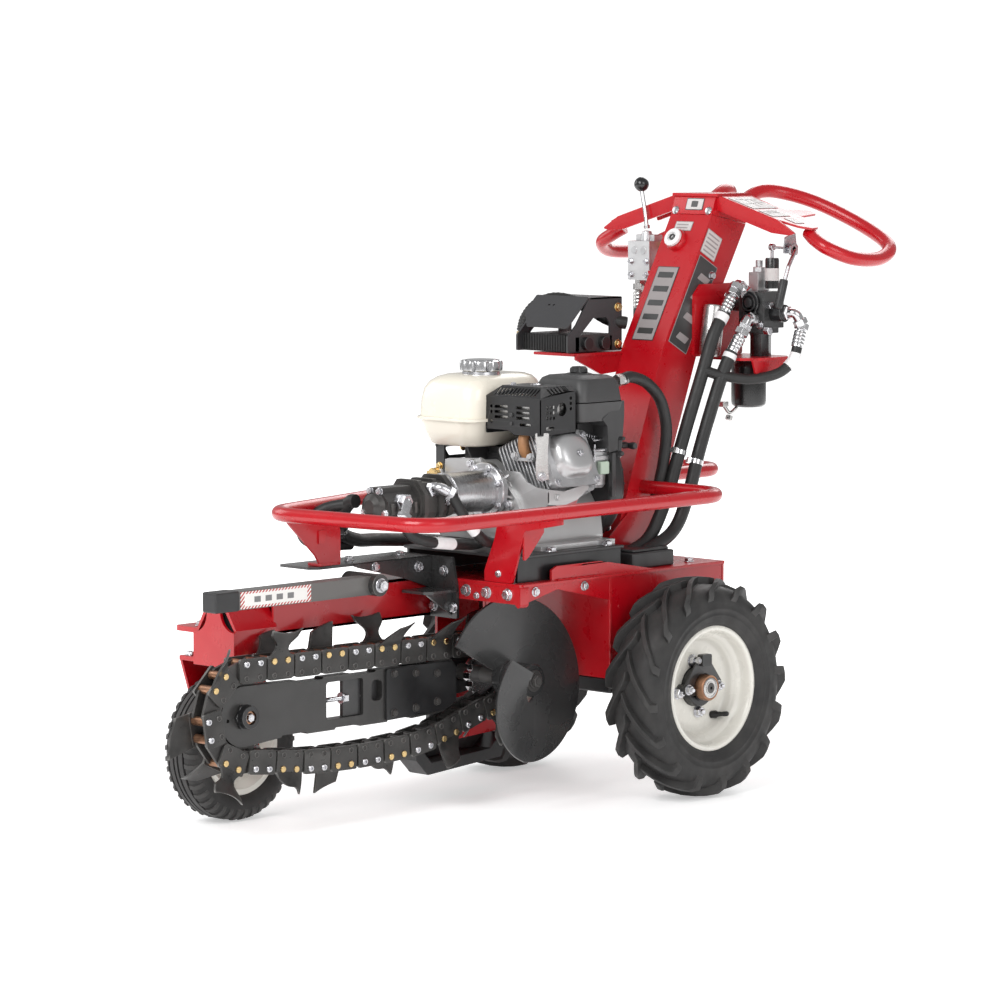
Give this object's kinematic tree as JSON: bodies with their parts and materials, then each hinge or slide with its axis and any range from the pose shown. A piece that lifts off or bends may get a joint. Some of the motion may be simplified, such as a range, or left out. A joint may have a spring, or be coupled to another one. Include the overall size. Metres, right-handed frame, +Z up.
{
  "type": "walk-behind trencher",
  "caption": "Walk-behind trencher with a chain digging boom, spoil auger, engine on a wheeled chassis, front wheel, guard ring, mast and looped handlebar.",
  "frame": {"origin": "on the ground under the middle of the machine's outline; the drive axle is 0.2428 m behind it at height 0.205 m", "axes": "+X forward towards the boom nose, +Y to the machine's left (auger side), +Z up"},
  "size_m": [1.5602, 0.6654, 1.1425],
  "materials": {
    "red_paint": "glossy enamel",
    "black_paint": "satin enamel",
    "dark_steel": "oiled dark steel",
    "bright_steel": "zinc plated",
    "cast_aluminium": "as cast",
    "tyre": "matt rubber",
    "hose_rubber": "matt rubber",
    "rim_white": "glossy cream white",
    "tank_cream": "satin cream",
    "black_plastic": "moulded"
  },
  "bodies": {
    "chassis": {"chassis_body": "red_paint", "front_cross_bar": "black_paint", "front_rail": "red_paint", "engine_bed": "black_paint", "boom_mount_bracket": "black_paint", "digging_shoe": "black_paint", "shoe_bracket": "red_paint", "mast": "red_paint", "guard_ring": "red_paint", "front_ring_post": "red_paint", "side_ring_post": "red_paint", "handlebar": "red_paint", "control_valve": "dark_steel", "drive_valve": "dark_steel", "oil_filter": "black_paint", "wheel_drive_unit": "dark_steel", "digging_motor": "black_paint", "engine_crankcase": "cast_aluminium", "cylinder_fins": "cast_aluminium", "valve_cover": "cast_aluminium", "fuel_tank": "tank_cream", "muffler_guard": "black_plastic", "air_cleaner": "black_plastic", "fan_housing": "black_paint", "carburettor": "cast_aluminium", "pump_adapter": "cast_aluminium", "hydraulic_pump": "black_paint", "oil_cooler": "black_paint", "engine_rear_guard": "black_paint", "rear_drive_hose": "hose_rubber", "front_drive_hose": "hose_rubber", "suction_hose": "hose_rubber"},
    "left_wheel": {"left_tyre": "tyre", "left_rim": "rim_white", "left_hub": "black_paint", "left_release_plate": "black_paint"},
    "right_wheel": {"right_tyre": "tyre", "right_rim": "rim_white", "right_hub": "black_paint", "right_release_plate": "black_paint"},
    "front_swivel": {"front_fork": "red_paint"},
    "front_wheel": {"front_tyre": "tyre", "front_rim": "rim_white"},
    "boom": {"boom_bar": "dark_steel", "tension_screw": "bright_steel", "digging_chain": "dark_steel"},
    "nose_sprocket": {"nose_idler": "dark_steel"},
    "headshaft_group": {"headshaft": "dark_steel", "drive_sprocket": "bright_steel", "spoil_auger": "black_paint"},
    "restraint_arm": {"restraint_bar": "black_paint"},
    "lift_lever": {"ball_lever": "black_plastic"},
    "travel_lever": {"drive_lever": "black_plastic"},
    "valve_spool": {"drive_valve_spool": "black_plastic"},
    "throttle": {"throttle_lever": "bright_steel"},
    "starter": {"starter_grip": "black_plastic"},
    "tank_cap": {"fuel_cap": "bright_steel"},
    "cleaner_knob": {"air_cleaner_knob": "black_plastic"},
    "filler_plug": {"fill_plug": "bright_steel"}
  },
  "joints": [
    {"name": "left_wheel_spin", "type": "hinge", "parent": "chassis", "child": "left_wheel", "pos_m": [-0.2428, 0.248, 0.205], "axis": [0, 1, 0], "continuous": true},
    {"name": "right_wheel_spin", "type": "hinge", "parent": "chassis", "child": "right_wheel", "pos_m": [-0.2428, -0.248, 0.205], "axis": [0, 1, 0], "continuous": true},
    {"name": "front_swivel_turn", "type": "hinge", "parent": "chassis", "child": "front_swivel", "pos_m": [0.5642, -0.184, 0.133], "axis": [0, 0, 1], "range_deg": [-30, 30]},
    {"name": "front_wheel_spin", "type": "hinge", "parent": "front_swivel", "child": "front_wheel", "pos_m": [0.5342, -0.184, 0.133], "axis": [0, 1, 0], "continuous": true},
    {"name": "boom_lower", "type": "hinge", "parent": "chassis", "child": "boom", "pos_m": [0.0752, 0, 0.236], "axis": [0, 1, 0], "range_deg": [0, 55]},
    {"name": "nose_sprocket_spin", "type": "hinge", "parent": "boom", "child": "nose_sprocket", "pos_m": [0.6782, 0, 0.221], "axis": [0, 1, 0], "continuous": true},
    {"name": "headshaft_spin", "type": "hinge", "parent": "chassis", "child": "headshaft_group", "pos_m": [0.0752, 0, 0.236], "axis": [0, 1, 0], "continuous": true},
    {"name": "restraint_lift", "type": "hinge", "parent": "chassis", "child": "restraint_arm", "pos_m": [0.3612, 0, 0.4265], "axis": [0, -1, 0], "range_deg": [0, 28]},
    {"name": "lift_lever_tilt", "type": "hinge", "parent": "chassis", "child": "lift_lever", "pos_m": [-0.5088, -0.119, 1.043], "axis": [0, 1, 0], "range_deg": [-4, 12]},
    {"name": "travel_lever_pull", "type": "hinge", "parent": "chassis", "child": "travel_lever", "pos_m": [-0.5828, 0.1905, 1.008], "axis": [0, -1, 0], "range_deg": [0, 20]},
    {"name": "valve_spool_slide", "type": "slide", "parent": "chassis", "child": "valve_spool", "axis": [0, 0, 1], "range_m": [0, 0.007]},
    {"name": "throttle_turn", "type": "hinge", "parent": "chassis", "child": "throttle", "pos_m": [-0.1428, 0.1423, 0.64], "axis": [0, 1, 0], "range_deg": [-25, 25]},
    {"name": "starter_pull", "type": "slide", "parent": "chassis", "child": "starter", "axis": [-0.7998, 0.5199, 0.2999], "range_m": [0, 0.45]},
    {"name": "tank_cap_turn", "type": "hinge", "parent": "chassis", "child": "tank_cap", "pos_m": [-0.0028, -0.076, 0.7903], "axis": [0, 0, 1], "range_deg": [0, 90]},
    {"name": "cleaner_knob_turn", "type": "hinge", "parent": "chassis", "child": "cleaner_knob", "pos_m": [-0.1208, 0.062, 0.8], "axis": [0, 0, 1], "range_deg": [0, 180]},
    {"name": "filler_plug_turn", "type": "hinge", "parent": "chassis", "child": "filler_plug", "pos_m": [-0.4768, -0.012, 1.0216], "axis": [0.8742, 0, 0.4856], "range_deg": [0, 180]}
  ],
  "couplings": [
    {"joint": "nose_sprocket_spin", "follows": "headshaft_spin", "ratio": 0.7},
    {"joint": "valve_spool_slide", "follows": "travel_lever_pull", "m_per_rad": 0.02}
  ]
}
